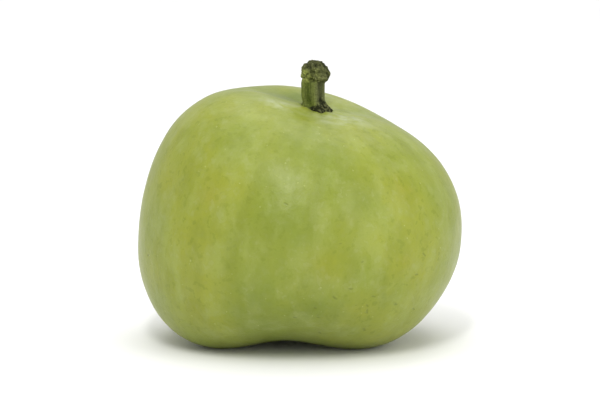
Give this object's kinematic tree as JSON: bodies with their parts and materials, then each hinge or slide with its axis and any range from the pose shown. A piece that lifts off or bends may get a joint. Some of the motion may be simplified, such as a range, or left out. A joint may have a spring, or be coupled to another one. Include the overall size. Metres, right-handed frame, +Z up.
{
  "type": "apple gourd",
  "caption": "Squat round green gourd with soft lobes and a short ridged stub of stem, whole and just picked, standing on its base.",
  "frame": {"origin": "on the surface the gourd stands on, under the middle of the fruit", "axes": "+Z up, +X towards the low shoulder that the stem leans over, +Y to the back"},
  "size_m": [0.0812, 0.078, 0.0711],
  "materials": {
    "skin": "living plant skin, smooth with a thin wax: satin, mottled light green",
    "stem": "dried green stalk, ridged and matt, corky at the foot and the knob"
  },
  "bodies": {
    "root": {"fruit": "skin", "stem": "stem"}
  },
  "joints": []
}
